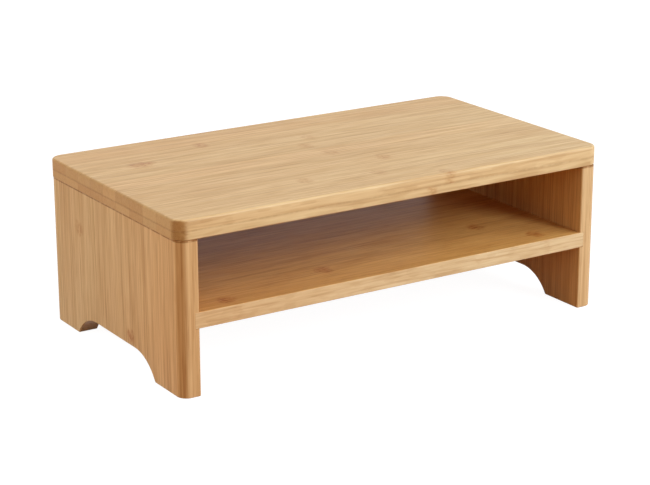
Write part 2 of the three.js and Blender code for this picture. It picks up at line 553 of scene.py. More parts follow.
def bamboo_figure(layup: Effect, fibres: Effect) -> Effect:
    """Make the effect of a finished bamboo surface from its strips and fibres.

    Args:
        layup: The effect of the strips.
        fibres: The effect of the fibres.

    Returns:
        An effect that gives the surface's colour, roughness and height.
    """
    effect = Effect("bamboo_figure",
                    {"Place": "Vector", "Strip Width": "Float", "First Joint": "Float",
                     "Seed": "Float", "Fineness": "Vector", "Pale": "Color", "Deep": "Color",
                     "Stain": "Float", "Line": "Float", "Cut End": "Float", "Corner Shade": "Float",
                     "Bay Shade": "Float", "Side": "Float", "Rim Highlight": "Float", "Contrast": "Float",
                     "Light Drift": "Float", "Gloss": "Float"},
                    {"Color": "Color", "Roughness": "Float", "Height": "Float"})
    given = effect.given
    strips = layup.use_in(effect, {label: given[label] for label in (
        "Place", "Strip Width", "First Joint", "Seed")})
    shift = effect.place("ShaderNodeCombineXYZ", {
        "X": effect.math("MULTIPLY", strips["Tone"], TONE_SHIFT),
        "Y": effect.math("MULTIPLY", given["Seed"], SEED_SHIFT),
        "Z": effect.math("MULTIPLY", strips["Tint"], TINT_SHIFT)}).outputs[0]
    grain = fibres.use_in(effect, {"Place": given["Place"], "Shift": shift,
                                   "Fineness": given["Fineness"]})
    lengthwise = effect.math("MULTIPLY_ADD", given["Cut End"], CUT_END_CALM, 1.0)
    lengthwise = effect.math("MULTIPLY_ADD", given["Side"], SIDE_CALM, lengthwise)
    lengthwise = effect.math("MULTIPLY", lengthwise, given["Contrast"])
    share = deep_share(effect, strips, grain, lengthwise)
    colour = bamboo_tone(effect, strips["Tint"], share)
    # What the fibres, the knots, the cut ends, the narrow sides, the painted highlight on the rims, the
    # painted shade in the bay and the corners, and the glue and painted shadow lines leave of the
    # colour, in turn
    fleck = effect.math("MULTIPLY", grain["Fleck"], lengthwise)
    line = effect.math("MULTIPLY", grain["Line"], lengthwise)
    dashes = DASHES.draw(effect, given["Place"])
    dash = effect.math("MULTIPLY", effect.span(dashes, DASH_SHOWS), given["Stain"])
    vessels = effect.place("ShaderNodeTexVoronoi", {"Vector": given["Place"], "Scale": VESSEL_REPEATS},
                           feature="F1").outputs["Distance"]
    vessel = effect.math("MULTIPLY", effect.span(vessels, VESSEL_SHOWS), given["Cut End"])
    for tint, mask in ((FLECK, fleck), (THIN_LINE, line), (STAIN, given["Stain"]), (DASH, dash),
                       (SOAKED, given["Cut End"]), (VESSEL, vessel), (NARROW_SIDE, given["Side"]),
                       (RIM_HIGHLIGHT, given["Rim Highlight"]), (BAY_SHADE, given["Bay Shade"]),
                       (CORNER_SHADE, given["Corner Shade"]), (STRIP_GLUE, strips["Joint"]),
                       (BOARD_GLUE_AND_SHADOW, given["Line"])):
        colour = tint.lay(effect, colour, mask)
    rough = effect.math("ADD", given["Gloss"], effect.span(grain["Streak"], STREAK_ROUGHNESS))
    rough = effect.math("MULTIPLY_ADD", given["Cut End"], CUT_END_ROUGHNESS, rough)
    height = effect.span(grain["Hair"], HAIR_RELIEF)
    for relief, mask in ((FLECK_RELIEF, fleck), (STRIP_GLUE_RELIEF, strips["Joint"]),
                         (DASH_RELIEF, dash)):
        height = effect.math("MULTIPLY_ADD", mask, relief, height)
    effect.give({"Color": colour, "Roughness": rough, "Height": height})
    return effect


# Finishes


class Run(Enum):
    """Way that a board's fibres run, with the turn that lays them along a pattern's first axis."""

    ALONG_WIDTH = (0.0, 0.0, 0.0)
    UPRIGHT = (0.0, pi / 2, 0.0)

    def fibre_way(self) -> Triple:
        """Give the fibres' direction in the frame."""
        return TO_RIGHT if self is Run.ALONG_WIDTH else UP


@dataclass(frozen=True)
class Seam:
    """Joint between two boards, seen as a fine dark line at one height: glue between the top's plies,
    and painted shadow under the top's overhang on a side panel.

    Attributes:
        level: Its height.
        depth: How dark the line is, from 0 to 1.
        reach: How far it spreads, up and down.
    """

    level: float
    depth: float
    reach: float


@dataclass(frozen=True)
class Knot:
    """Node of the culm in one strip of a board.

    Attributes:
        along: Its place along the fibres.
        across: Its place from front to back.
        strength: How strong it shows, from 0 to 1.
        reach: How far its stain goes along the fibres, to each side.
        width: How far it goes across them, to each side.
    """

    along: float
    across: float
    strength: float
    reach: float
    width: float = 0.008


# How the outline of every knot wanders
KNOT_OUTLINE = Pattern((90.0, 260.0, 260.0), 2.0)


class WoodShop:
    """Holds the effects that all finishes use."""

    def __init__(self) -> None:
        """Build each effect once."""
        self.knot = knot_mark()
        self.facing = facing()
        self.glue_and_shadow_line = glue_and_shadow_line()
        self.fibres = culm_fibres()
        self.figure = bamboo_figure(strip_layup(), self.fibres)


@dataclass(frozen=True, kw_only=True)
class WoodFinish:
    """What the finish of every wooden piece has.

    Attributes:
        name: The material's name.
        run: Way of the fibres.
        pale: Colour of the pale wood.
        deep: Colour of the deep streaks.
        relief: Strength of the fibres' relief, from 0 to 1.
        relief_height: Height of the relief.
        refraction: How strongly the surface bends light.
        shine: Strength of its mirror reflection.
    """

    name: str
    run: Run
    pale: Colour
    deep: Colour
    relief: float
    relief_height: float
    refraction: float = 1.5
    shine: float = 0.5

    def make(self, shop: WoodShop) -> bpy.types.Material:
        """Build the material.

        Args:
            shop: The effects to build it with.

        Returns:
            The material.
        """
        material = bpy.data.materials.new(self.name)
        material.use_nodes = True
        bench = NodeBench(material.node_tree)
        surface = material.node_tree.nodes["Principled BSDF"].inputs
        place = bench.place("ShaderNodeTexCoord").outputs["Object"]
        lie = bench.place("ShaderNodeMapping", {"Vector": place, "Rotation": self.run.value}).outputs[0]
        colour, roughness, height = self.draw(bench, shop, place, lie)
        bench.feed(surface["Base Color"], colour)
        bench.feed(surface["Roughness"], roughness)
        bump = bench.place("ShaderNodeBump", {"Height": height, "Strength": self.relief,
                                              "Distance": self.relief_height}).outputs[0]
        bench.feed(surface["Normal"], bump)
        surface["IOR"].default_value = self.refraction
        surface["Specular IOR Level"].default_value = self.shine
        return material

    def draw(self, bench: NodeBench, shop: WoodShop, place: Socket,
             lie: Socket) -> tuple[Socket, Socket, Socket]:
        """Draw the wood's figure, each finish in its own way.

        Args:
            bench: The material's bench.
            shop: The effects to build with.
            place: Place in the frame.
            lie: Place on the board, with the fibres along its first axis.

        Returns:
            Colour, roughness and height of the surface.
        """
        raise NotImplementedError


@dataclass(frozen=True, kw_only=True)
class BambooFinish(WoodFinish):
    """Clear satin lacquer on bamboo strips.

    Attributes:
        seed: Number that makes this board's figure its own.
        first_joint: Place of one glue line between strips, from front to back.
        seams: Its joints to the boards above and below.
        bay_way: Way that its faces in the bay look, which get painted shade.
        knots: Nodes of the culm that show.
        corner_shade_depth: How much painted shade deepens its upright corners, from 0 to 1.
        bay_shade_depth: How much painted shade deepens its faces in the bay, from 0 to 1.
        rim_highlight_depth: How much a painted highlight pales its long edges, from 0 to 1.
        side_depth: How much paler its strips' narrow sides are, from 0 to 1.
        contrast: Strength of its streaks, where 1 is plain.
        light_drift_way: Way that its painted shade deepens and warms its colour, as the share gained in
            a metre.
        light_drift_level: Level of its painted light and shade at the origin.
        fineness: How fine its streaks are along the fibres, across them and into the board.
        strip_width: Width of a strip.
        gloss: Roughness of the lacquer.
    """

    seed: float
    first_joint: float
    seams: tuple[Seam, ...] = ()
    bay_way: Triple = NO_WAY
    knots: tuple[Knot, ...] = ()
    corner_shade_depth: float = 1.0
    bay_shade_depth: float = 1.0
    rim_highlight_depth: float = 0.0
    side_depth: float = 1.0
    contrast: float = 0.75
    light_drift_way: Triple = (-1.2, 2.4, 0.0)
    light_drift_level: float = 0.5
    fineness: Triple = (1.5, 1.0, 0.5)
    strip_width: float = 0.0222
    gloss: float = 0.4
    relief: float = 0.2
    relief_height: float = 0.00012
    refraction: float = 1.47
    shine: float = 0.21

    def draw(self, bench: NodeBench, shop: WoodShop, place: Socket,
             lie: Socket) -> tuple[Socket, Socket, Socket]:
        """Draw the bamboo's figure.

        Args:
            bench: The material's bench.
            shop: The effects to build with.
            place: Place in the frame.
            lie: Place on the board, with the fibres along its first axis.

        Returns:
            Colour, roughness and height of the surface.
        """
        normal = bench.place("ShaderNodeNewGeometry").outputs["Normal"]
        faces = shop.facing.use_in(bench, {"Normal": normal, "Fibre Way": self.run.fibre_way(),
                                           "Bay Way": self.bay_way})
        light_drift = bench.dot(place, self.light_drift_way)
        feeds = {
            "Place": lie, "Strip Width": self.strip_width, "First Joint": self.first_joint,
            "Seed": self.seed, "Fineness": self.fineness, "Pale": self.pale, "Deep": self.deep,
            "Stain": self.knots_seen(bench, shop, lie), "Line": self.seams_seen(bench, shop, place),
            "Cut End": faces["Cut End"], "Contrast": self.contrast, "Gloss": self.gloss,
            "Light Drift": bench.math("ADD", light_drift, self.light_drift_level, clamp=True)}
        for label, depth in (("Corner Shade", self.corner_shade_depth), ("Bay Shade", self.bay_shade_depth),
                             ("Side", self.side_depth), ("Rim Highlight", self.rim_highlight_depth)):
            feeds[label] = bench.math("MULTIPLY", faces[label], depth)
        figure = shop.figure.use_in(bench, feeds)
        return figure["Color"], figure["Roughness"], figure["Height"]

    def seams_seen(self, bench: NodeBench, shop: WoodShop, place: Socket) -> Source:
        """Gather the dark lines of all seams, of glue and of painted shadow.

        Args:
            bench: The material's bench.
            shop: The effects to build with.
            place: Place in the frame.

        Returns:
            How dark a line is, as one value.
        """
        line: Source = 0.0
        for seam in self.seams:
            feeds = {"Place": place, "Level": seam.level, "Reach": seam.reach}
            shown = shop.glue_and_shadow_line.use_in(bench, feeds)["Line"]
            line = bench.math("MAXIMUM", line, bench.math("MULTIPLY", shown, seam.depth))
        return line

    def knots_seen(self, bench: NodeBench, shop: WoodShop, lie: Socket) -> Source:
        """Gather the stains of all knots.

        Args:
            bench: The material's bench.
            shop: The effects to build with.
            lie: Place on the board, with the fibres along its first axis.

        Returns:
            The stain, as one value.
        """
        stain: Source = 0.0
        wander = KNOT_OUTLINE.draw(bench, lie)
        for knot in self.knots:
            mark = shop.knot.use_in(bench, {
                "Place": lie, "Centre": (knot.along, knot.across, 0.0), "Reach": knot.reach,
                "Width": knot.width, "Wander": wander})["Stain"]
            stain = bench.math("MAXIMUM", stain, bench.math("MULTIPLY", mark, knot.strength))
        return stain


@dataclass(frozen=True, kw_only=True)
class DowelFinish(WoodFinish):
    """Bare turned wood, upright in its hole.

    Attributes:
        shift: What sets its figure off from the boards'.
        fineness: How fine its streaks are along the fibres, across them and into the wood.
        streaks: Where the late wood shows in the streaks.
        roughness: Roughness that the fibres give.
    """

    name: str = "dowel_wood"
    run: Run = Run.UPRIGHT
    pale: Colour = paint(222, 197, 158)
    deep: Colour = paint(190, 156, 112)
    relief: float = 0.4
    relief_height: float = 0.00015
    shift: Triple = (0.3, 0.1, 0.7)
    fineness: Triple = (2.0, 1.0, 1.0)
    streaks: Ramp = Ramp(0.35, 0.65)
    roughness: Ramp = Ramp(0.3, 0.7, 0.62, 0.74)

    def draw(self, bench: NodeBench, shop: WoodShop, place: Socket,
             lie: Socket) -> tuple[Socket, Socket, Socket]:
        """Draw the dowels' figure.

        Args:
            bench: The material's bench.
            shop: The effects to build with.
            place: Place in the frame, which a dowel's figure doesn't follow.
            lie: Place on the dowel, with the fibres along its first axis.

        Returns:
            Colour, roughness and height of the surface.
        """
        grain = shop.fibres.use_in(bench, {"Place": lie, "Shift": self.shift,
                                           "Fineness": self.fineness})
        colour = bench.blend(bench.span(grain["Streak"], self.streaks), self.pale, self.deep)
        return colour, bench.span(grain["Hair"], self.roughness), grain["Hair"]


# Boards


def ease(shape: bmesh.types.BMesh, edges: list[bmesh.types.BMEdge], radius: float,
         segments: int) -> None:
    """Round some edges of a shape.

    Args:
        shape: The shape.
        edges: The edges to round.
        radius: Their radius.
        segments: Faces across the rounding.
    """
    bmesh.ops.bevel(shape, geom=edges, offset=radius, offset_type="OFFSET", segments=segments,
                    profile=0.5, affect="EDGES", clamp_overlap=False, material=-1)


def block(low: Vector, high: Vector) -> bmesh.types.BMesh:
    """Start a shape as a plain block.

    Args:
        low: Its lowest corner.
        high: Its highest corner.

    Returns:
        The shape.
    """
    shape = bmesh.new()
    bmesh.ops.create_cube(shape, size=1.0)
    bmesh.ops.scale(shape, vec=high - low, verts=shape.verts)
    bmesh.ops.translate(shape, vec=(high + low) / 2, verts=shape.verts)
    return shape


def runs_along(edge: bmesh.types.BMEdge, axis: Axis) -> bool:
    """Tell whether an edge is straight along an axis."""
    way = edge.verts[1].co - edge.verts[0].co
    return abs(way[axis]) > way.length - TOUCHING


def lies_at(edge: bmesh.types.BMEdge, axis: Axis, place: float) -> bool:
    """Tell whether both ends of an edge are at one place along an axis."""
    return all(abs(vert.co[axis] - place) < TOUCHING for vert in edge.verts)


def finish_piece(name: str, shape: bmesh.types.BMesh, material: bpy.types.Material, slot: str,
                 *nodes: str) -> None:
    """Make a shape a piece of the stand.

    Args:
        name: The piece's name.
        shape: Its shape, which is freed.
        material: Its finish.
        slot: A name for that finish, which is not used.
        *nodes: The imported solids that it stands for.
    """
    bmesh.ops.recalc_face_normals(shape, faces=shape.faces)
    mesh = bpy.data.meshes.new(name)
    shape.to_mesh(mesh)
    shape.free()
    mesh.materials.append(material)
    mesh.shade_smooth()
    mesh.set_sharp_from_angle(angle=CREASE)
    piece = bpy.data.objects.new(name, mesh)
    bpy.context.scene.collection.objects.link(piece)
    flats = piece.modifiers.new("flat_faces_stay_flat", "WEIGHTED_NORMAL")
    flats.keep_sharp = True
    flats.weight = FLAT_WEIGHT
    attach(piece, BODY)
    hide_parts(*nodes)
    REPORT.info("%s: %d faces", name, len(mesh.polygons))


@dataclass
class TopBoard:
    """The two plies of the top, pressed together on one glue line.

    Attributes:
        corner_radius: Radius of its corners, seen from above.
        upper_radius: Radius round its upper face.
        lower_radius: Radius round its underside.
        seam_radius: Fine easing where the plies meet.
        corner_segments: Faces round a corner.
        edge_segments: Faces across an edge.
        joint_from_back: From the back edge to the first glue line between strips.
        seam_depth: How dark the line between the plies is, from 0 to 1.
        seam_reach: How far that line spreads, up and down.
        pale: Colour of its pale strips.
        deep: Colour of its deep streaks.
        low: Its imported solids' lowest corner.
        high: Their highest corner.
    """

    corner_radius: float = 0.0115
    upper_radius: float = 0.002
    lower_radius: float = 0.001
    seam_radius: float = 0.00012
    corner_segments: int = 22
    edge_segments: int = 6
    joint_from_back: float = 0.0115
    seam_depth: float = 0.3
    seam_reach: float = 0.001
    pale: Colour = paint(227, 190, 135)
    deep: Colour = paint(193, 145, 88)
    low: Vector = field(init=False)
    high: Vector = field(init=False)

    def __post_init__(self) -> None:
        """Read the top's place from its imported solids."""
        self.low, self.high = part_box("top_lower_ply")[0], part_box("top_upper_ply")[1]

    def ply(self, node: str, above: float, below: float) -> bmesh.types.BMesh:
        """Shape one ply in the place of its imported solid.

        Args:
            node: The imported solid.
            above: Radius of its upper edge.
            below: Radius of its lower edge.

        Returns:
            The shape.
        """
        low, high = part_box(node)
        shape = block(low, high)
        corners = [edge for edge in shape.edges if runs_along(edge, Axis.Z)]
        ease(shape, corners, self.corner_radius, self.corner_segments)
        for level, radius in ((high.z, above), (low.z, below)):
            rim = [edge for edge in shape.edges if lies_at(edge, Axis.Z, level)]
            ease(shape, rim, radius, self.edge_segments)
        return shape

    def knot(self, from_left: float, from_back: float, strength: float, reach: float = 0.006) -> Knot:
        """Place a knot by its distances from the left and back edges."""
        return Knot(self.low.x + from_left, self.high.y - from_back, strength, reach)

    def finish(self, name: str, seed: float, **look: object) -> BambooFinish:
        """Describe the bamboo of one ply.

        Args:
            name: The material's name.
            seed: Number that makes this ply's figure its own.
            **look: What else sets it apart.

        Returns:
            The finish.
        """
        seam = Seam(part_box("top_upper_ply")[0].z, self.seam_depth, self.seam_reach)
        return BambooFinish(
            name=name, run=Run.ALONG_WIDTH, pale=self.pale, deep=self.deep, seed=seed,
            first_joint=self.high.y - self.joint_from_back, seams=(seam,), **look)

    def upper_finish(self) -> BambooFinish:
        """Describe the bamboo of the upper ply.

        Returns:
            The finish, with the knots that show on the top.
        """
        # The upper ply's rounded front and back rims get a painted highlight
        return self.finish("top_bamboo_upper", seed=3.0, rim_highlight_depth=1.0, knots=(
            self.knot(from_left=0.051, from_back=0.066, strength=1.0, reach=0.011),
            self.knot(from_left=0.122, from_back=0.038, strength=0.6),
            self.knot(from_left=0.194, from_back=0.088, strength=0.5),
            self.knot(from_left=0.137, from_back=0.177, strength=0.45),
            self.knot(from_left=0.229, from_back=0.151, strength=0.55),
            self.knot(from_left=0.200, from_back=0.188, strength=0.4),
            self.knot(from_left=0.201, from_back=0.116, strength=0.4),
            self.knot(from_left=0.212, from_back=0.064, strength=0.35),
            self.knot(from_left=0.246, from_back=0.215, strength=0.5, reach=0.005)))

    def lower_finish(self) -> BambooFinish:
        """Describe the bamboo of the lower ply.

        Returns:
            The finish, with painted shade in amber on the underside, which is the roof of the bay.
        """
        return self.finish("top_bamboo_lower", seed=11.0, bay_way=DOWN, knots=(
            self.knot(from_left=0.229, from_back=0.215, strength=0.5, reach=0.005),
            self.knot(from_left=0.090, from_back=0.111, strength=0.6),
            self.knot(from_left=0.330, from_back=0.045, strength=0.6)))

    def build(self, shop: WoodShop) -> None:
        """Build and dress both plies.

        Args:
            shop: The effects to dress them with.
        """
        upper, lower = self.upper_finish().make(shop), self.lower_finish().make(shop)
        finish_piece("top_upper_layer", self.ply("top_upper_ply", self.upper_radius, self.seam_radius),
                     upper, "top_bamboo", "top_upper_ply")
        finish_piece("top_lower_layer", self.ply("top_lower_ply", self.seam_radius, self.lower_radius),
                     lower, "top_bamboo", "top_lower_ply")


class Side(Enum):
    """Side of the stand, with its way along the width."""

    LEFT = -1.0
    RIGHT = 1.0


@dataclass
class SidePanel:
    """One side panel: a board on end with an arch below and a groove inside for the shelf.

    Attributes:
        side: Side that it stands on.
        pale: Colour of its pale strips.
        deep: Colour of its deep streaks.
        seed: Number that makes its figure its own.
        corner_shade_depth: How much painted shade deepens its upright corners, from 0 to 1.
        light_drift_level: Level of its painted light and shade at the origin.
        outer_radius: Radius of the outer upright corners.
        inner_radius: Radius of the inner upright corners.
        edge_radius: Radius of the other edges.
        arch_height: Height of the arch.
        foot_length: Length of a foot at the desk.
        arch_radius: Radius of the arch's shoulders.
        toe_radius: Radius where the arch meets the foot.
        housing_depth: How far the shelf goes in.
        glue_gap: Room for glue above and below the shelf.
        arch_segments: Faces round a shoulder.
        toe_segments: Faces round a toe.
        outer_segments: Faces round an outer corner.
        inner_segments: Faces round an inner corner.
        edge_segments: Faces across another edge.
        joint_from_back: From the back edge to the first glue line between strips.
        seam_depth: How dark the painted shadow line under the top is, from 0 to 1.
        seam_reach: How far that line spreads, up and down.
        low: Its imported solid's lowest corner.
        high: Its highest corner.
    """

    side: Side
    pale: Colour
    deep: Colour
    seed: float
    corner_shade_depth: float
    light_drift_level: float
    outer_radius: float = 0.0085
    inner_radius: float = 0.0015
    edge_radius: float = 0.0008
    arch_height: float = 0.018
    foot_length: float = 0.0435
    arch_radius: float = 0.038
    toe_radius: float = 0.0015
    housing_depth: float = 0.00386
    glue_gap: float = 0.00006
    arch_segments: int = 18
    toe_segments: int = 6
    outer_segments: int = 18
    inner_segments: int = 6
    edge_segments: int = 4
    joint_from_back: float = 0.0175
    seam_depth: float = 1.0
    seam_reach: float = 0.002
    low: Vector = field(init=False)
    high: Vector = field(init=False)

    def __post_init__(self) -> None:
        """Read the panel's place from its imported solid."""
        self.low, self.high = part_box(self.node())

    def word(self) -> str:
        """Give the side as names have it."""
        return self.side.name.lower()

    def node(self) -> str:
        """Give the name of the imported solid."""
        return f"{self.word()}_side_panel"

    def outer_x(self) -> float:
        """Give the place of the outer face."""
        return self.low.x if self.side is Side.LEFT else self.high.x

    def inner_x(self) -> float:
        """Give the place of the inner face."""
        return self.high.x if self.side is Side.LEFT else self.low.x

    def finish(self) -> BambooFinish:
        """Describe the bamboo of the panel.

        Returns:
            The finish, upright, with painted shade that deepens and warms its colour to the front and
            downwards.
        """
        # The dark line under the top is painted shadow under the top's overhang, laid at the joint
        seam = Seam(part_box("top_lower_ply")[0].z, self.seam_depth, self.seam_reach)
        # Painted shade deepens the inner face, which looks into the bay, and the upright corners, and
        # painted light and shade deepen and warm the colour to the front and downwards
        return BambooFinish(
            name=f"side_bamboo_{self.word()}", run=Run.UPRIGHT, pale=self.pale, deep=self.deep,
            seed=self.seed, first_joint=self.high.y - self.joint_from_back, seams=(seam,),
            bay_way=(-self.side.value, 0.0, 0.0), corner_shade_depth=self.corner_shade_depth, bay_shade_depth=0.7,
            side_depth=0.9, contrast=0.72, light_drift_way=(0.0, -7.0, -4.0), light_drift_level=self.light_drift_level,
            shine=0.1, fineness=(1.2, 1.25, 1.0), relief=0.1, knots=(
                Knot(along=0.091, across=0.058, strength=0.5, reach=0.006, width=0.007),
                Knot(along=0.026, across=-0.027, strength=0.8, reach=0.006, width=0.007)))

    def outline(self) -> bmesh.types.BMesh:
        """Draw the panel's outer face.

        The front half starts at the middle of the arch, goes round the shoulder and the toe to the
        foot and up to the middle of the top, and is then mirrored to the back.

        Returns:
            A shape of one flat face.
        """
        shape = bmesh.new()
        x = self.outer_x()
        half = self.high.y
        centre_z = self.arch_height - self.arch_radius
        centre_y = half - self.foot_length - sqrt(self.arch_radius ** 2 - centre_z ** 2)
        reach = self.arch_radius + self.toe_radius
        toe_run = sqrt(reach ** 2 - (self.toe_radius - centre_z) ** 2)
        turn = acos((self.toe_radius - centre_z) / reach)
        pen = shape.verts.new((x, 0.0, self.arch_height))
        pen = self.draw_to(shape, pen, Vector((x, -centre_y, self.arch_height)))
        pen = self.sweep(shape, pen, Vector((x, -centre_y, centre_z)), turn, self.arch_segments)
        toe = Vector((x, -centre_y - toe_run, self.toe_radius))
        pen = self.sweep(shape, pen, toe, -turn, self.toe_segments)
        for spot in ((x, -half, 0.0), (x, -half, self.high.z), (x, 0.0, self.high.z)):
            pen = self.draw_to(shape, pen, Vector(spot))
        bmesh.ops.mirror(shape, geom=shape.verts[:] + shape.edges[:], axis="Y", merge_dist=WELDING)
        bmesh.ops.contextual_create(shape, geom=shape.edges[:])
        return shape

    @staticmethod
    def draw_to(shape: bmesh.types.BMesh, pen: bmesh.types.BMVert,
                spot: Vector) -> bmesh.types.BMVert:
        """Draw a straight line on from a point.

        Args:
            shape: The shape.
            pen: Where the line starts.
            spot: Where it ends.

        Returns:
            The line's end.
        """
        end = bmesh.ops.extrude_vert_indiv(shape, verts=[pen])["verts"][0]
        end.co = spot
        return end

    @staticmethod
    def sweep(shape: bmesh.types.BMesh, pen: bmesh.types.BMVert, centre: Vector, turn: float,
              steps: int) -> bmesh.types.BMVert:
        """Draw an arc on from a point.

        Args:
            shape: The shape.
            pen: Where the arc starts.
            centre: Its centre.
            turn: Its angle about the width.
            steps: Lines that it has.

        Returns:
            The arc's end.
        """
        drawn = bmesh.ops.spin(shape, geom=[pen], cent=centre, axis=TO_RIGHT, angle=turn, steps=steps,
                               use_duplicate=False)
        return next(part for part in drawn["geom_last"] if isinstance(part, bmesh.types.BMVert))

    @staticmethod
    def grow(shape: bmesh.types.BMesh, faces: list[bmesh.types.BMFace],
             shift: float) -> list[bmesh.types.BMFace]:
        """Draw faces out along the width.

        Args:
            shape: The shape.
            faces: The faces.
            shift: How far they go.

        Returns:
            The faces at their new place.
        """
        grown = bmesh.ops.extrude_face_region(shape, geom=faces)["geom"]
        bmesh.ops.translate(shape, vec=(shift, 0.0, 0.0),
                            verts=[part for part in grown if isinstance(part, bmesh.types.BMVert)])
        return [part for part in grown if isinstance(part, bmesh.types.BMFace)]

    def build(self, shop: WoodShop) -> None:
        """Build and dress the panel.

        Args:
            shop: The effects to dress it with.
        """
        shelf_low, shelf_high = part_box("shelf")
        groove = (shelf_low.z - self.glue_gap, shelf_high.z + self.glue_gap)
        shape = self.outline()
        for level in groove:
            bmesh.ops.bisect_plane(shape, geom=shape.verts[:] + shape.edges[:] + shape.faces[:],
                                   plane_co=(0.0, 0.0, level), plane_no=UP)
        # The board up to the groove's floor, and then the inner face above and below the groove
        floor_x = self.inner_x() + self.side.value * self.housing_depth
        floor = self.grow(shape, shape.faces[:], floor_x - self.outer_x())
        beside = [face for face in floor if not groove[0] < face.calc_center_bounds().z < groove[1]]
        self.grow(shape, beside, self.inner_x() - floor_x)
        bmesh.ops.delete(shape, geom=[face for face in beside if face.is_valid],
                         context="FACES_ONLY")
        bmesh.ops.recalc_face_normals(shape, faces=shape.faces)
        bmesh.ops.dissolve_limit(shape, angle_limit=HIDDEN_SEAM, verts=shape.verts,
                                 edges=shape.edges)
        ease(shape, self.corners(shape, self.outer_x()), self.outer_radius, self.outer_segments)
        ease(shape, self.corners(shape, self.inner_x()), self.inner_radius, self.inner_segments)
        open_edges = [edge for edge in shape.edges if self.is_open_edge(edge, groove)]
        ease(shape, open_edges, self.edge_radius, self.edge_segments)
        finish_piece(f"{self.word()}_panel", shape, self.finish().make(shop), "side_bamboo",
                     self.node())

    def corners(self, shape: bmesh.types.BMesh, x: float) -> list[bmesh.types.BMEdge]:
        """Find the upright corners of one face.

        Args:
            shape: The panel's shape.
            x: Place of the face.

        Returns:
            The edges at its front and back.
        """
        return [edge for edge in shape.edges if runs_along(edge, Axis.Z) and lies_at(edge, Axis.X, x)
                and abs(abs(edge.verts[0].co.y) - self.high.y) < TOUCHING]

    @staticmethod
    def is_open_edge(edge: bmesh.types.BMEdge, groove: tuple[float, float]) -> bool:
        """Tell whether an edge is sharp and not one of the groove's.

        Args:
            edge: The edge.
            groove: Heights of the groove's lower and upper walls.

        Returns:
            True for an edge at the top end, at a foot or along the arch.
        """
        at_groove = any(groove[0] - TOUCHING <= vert.co.z <= groove[1] + TOUCHING
                        for vert in edge.verts)
        return not at_groove and edge.is_manifold and edge.calc_face_angle(0.0) > SHARP


@dataclass
class Shelf:
    """The shelf, with its ends in the panels' grooves.

    Attributes:
        edge_radius: Radius of its long edges.
        end_radius: Fine easing of its ends.
        edge_segments: Faces across a long edge.
        end_segments: Faces across an end's edge.
        pale: Colour of its pale strips.
        deep: Colour of its deep streaks.
    """

    edge_radius: float = 0.0006
    end_radius: float = 0.0001
    edge_segments: int = 5
    end_segments: int = 2
    pale: Colour = paint(233, 200, 149)
    deep: Colour = paint(198, 153, 98)

    def finish(self) -> BambooFinish:
        """Describe the bamboo of the shelf.

        Returns:
            The finish, with four knots on the shelf and two in its front edge.
        """
        # Painted shade deepens the shelf's upper face, which is the floor of the bay, and painted light
        # and shade deepen and warm its colour to the left and the back
        return BambooFinish(
            name="shelf_bamboo", run=Run.ALONG_WIDTH, pale=self.pale, deep=self.deep, seed=45.0,
            first_joint=0.0, bay_way=UP, shine=0.1, contrast=0.68, light_drift_way=(-4.0, 2.4, 0.0),
            fineness=(2.2, 1.1, 0.7), knots=(
                Knot(along=-0.051, across=-0.076, strength=1.0, reach=0.007),
                Knot(along=0.118, across=-0.049, strength=1.0, reach=0.007),
                Knot(along=0.148, across=-0.092, strength=1.0, reach=0.007),
                Knot(along=-0.152, across=-0.0965, strength=1.0, reach=0.008, width=0.007),
                Knot(along=-0.150, across=-0.110, strength=0.12, reach=0.004, width=0.004),
                Knot(along=0.147, across=-0.110, strength=0.15, reach=0.003, width=0.004)))

    def build(self, shop: WoodShop) -> None:
        """Build and dress the shelf.

        Args:
            shop: The effects to dress it with.
        """
        low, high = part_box("shelf")
        shape = block(low, high)
        long_edges = [edge for edge in shape.edges if runs_along(edge, Axis.X)]
        ease(shape, long_edges, self.edge_radius, self.edge_segments)
        ends = [edge for edge in shape.edges
                if lies_at(edge, Axis.X, low.x) or lies_at(edge, Axis.X, high.x)]
        ease(shape, ends, self.end_radius, self.end_segments)
        finish_piece("shelf_board", shape, self.finish().make(shop), "shelf_bamboo", "shelf")


@dataclass
class Dowels:
    """The six dowels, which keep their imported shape.

    Attributes:
        word: What their nodes' names have in common.
    """

    word: str = "_dowel_"

    def dress(self, shop: WoodShop) -> None:
        """Give every dowel its finish.

        Args:
            shop: The effects to dress them with.
        """
        material = DowelFinish().make(shop)
        for name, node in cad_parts.items():
            if self.word in name:
                node.data.materials.clear()
                node.data.materials.append(material)
                REPORT.info("%s: dressed", name)


# Studio


@dataclass(frozen=True, kw_only=True)
class Softbox:
    """A square soft lamp.

    Attributes:
        name: The lamp's name.
        turn: Its bearing from the stand, in degrees from straight in front towards the right.
        rise: Its height over the horizon, in degrees.
        distance: How far off it stands.
        size: Length of its sides.
        watts: Its power.
        tint: Colour of its light.
    """

    name: str
    turn: float
    rise: float
    distance: float
    size: float
    watts: float
    tint: Triple = (1.0, 1.0, 1.0)

    def set_up(self, aim: Vector) -> None:
        """Stand the lamp in the scene, aimed at a point.

        Args:
            aim: The point.
        """
        light = bpy.data.lights.new(self.name, "AREA")
        light.shape = "SQUARE"
        light.size = self.size
        light.energy = self.watts
        light.color = self.tint
        lamp = bpy.data.objects.new(self.name, light)
        bearing = Matrix.Rotation(radians(self.turn), 4, "Z")
        height = Matrix.Rotation(-radians(self.rise), 4, "X")
        away = bearing @ height @ Vector((0.0, -self.distance, 0.0))
        lamp.location = aim + away
        lamp.rotation_euler = away.to_track_quat("Z", "Y").to_euler()
        bpy.context.scene.collection.objects.link(lamp)


